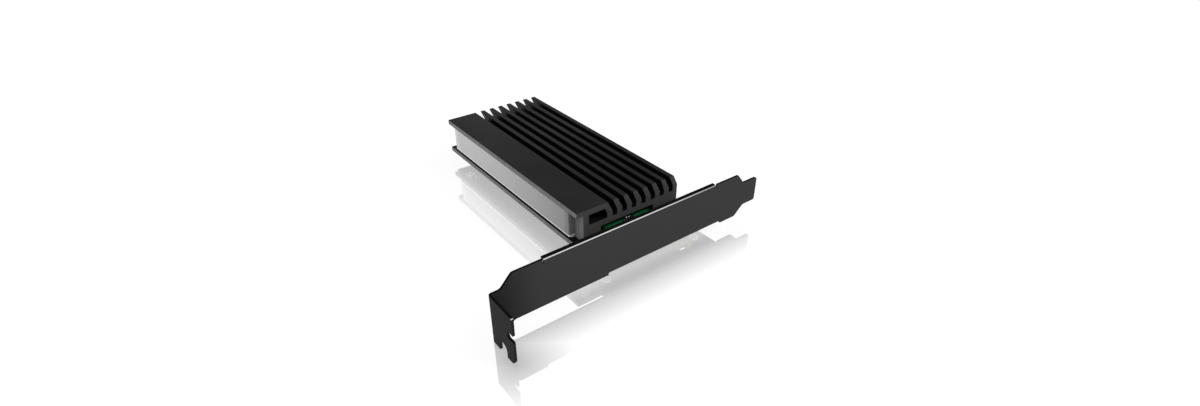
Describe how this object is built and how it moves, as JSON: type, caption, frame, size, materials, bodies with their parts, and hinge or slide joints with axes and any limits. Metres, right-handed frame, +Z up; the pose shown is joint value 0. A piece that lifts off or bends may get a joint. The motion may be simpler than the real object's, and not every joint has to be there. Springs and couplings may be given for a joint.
{
  "type": "nvme adapter card",
  "caption": "Solid state drive adapter card: board with edge contacts, drive between two heat pads, finned heatsink with a light bar, and a folded slot bracket.",
  "frame": {"origin": "on the slot bracket's outer face, on the drive's centre line, at the height of the board's component side", "axes": "+X along the bracket towards its tongue and the card's edge contacts, +Y from the bracket into the card, +Z up from the board's component side"},
  "size_m": [0.1201, 0.1321, 0.023],
  "materials": {
    "black_steel": "satin black paint on folded steel",
    "board_laminate": "black solder mask over laminate",
    "gold_plating": "thin gold plating",
    "socket_plastic": "moulded black plastic",
    "spring_metal": "tinned springs",
    "plain_brass": "turned brass",
    "black_screw": "blackened steel",
    "bright_screw": "zinc plated steel",
    "drive_laminate": "green solder mask over laminate",
    "chip_package": "moulded black epoxy",
    "ceramic_part": "fired ceramic with tinned ends",
    "coil_body": "pressed grey ferrite",
    "heat_pad": "soft grey silicone pad",
    "anodised_aluminium": "black anodised extrusion",
    "clear_bar": "clear plastic with a frosted face",
    "diode_body": "white diode package"
  },
  "bodies": {
    "root": {"slot_bracket": "black_steel", "circuit_board": "board_laminate", "slot_plating": "gold_plating", "ground_plane": "gold_plating", "edge_contacts": "gold_plating", "ssd_socket": "socket_plastic", "socket_contacts": "spring_metal", "standoff": "plain_brass", "ssd_screw": "black_screw", "ssd_board": "drive_laminate", "ssd_contacts": "gold_plating", "ssd_controller": "chip_package", "ssd_memory_chips": "chip_package", "ssd_cache_chip": "chip_package", "ssd_capacitors": "ceramic_part", "ssd_coils": "coil_body", "ssd_resistors": "chip_package", "lower_heat_pad": "heat_pad", "upper_heat_pad": "heat_pad", "heatsink": "anodised_aluminium", "light_bar": "clear_bar", "leds": "diode_body", "board_capacitor": "ceramic_part", "heatsink_screws": "bright_screw", "bracket_screws": "bright_screw"}
  },
  "joints": []
}
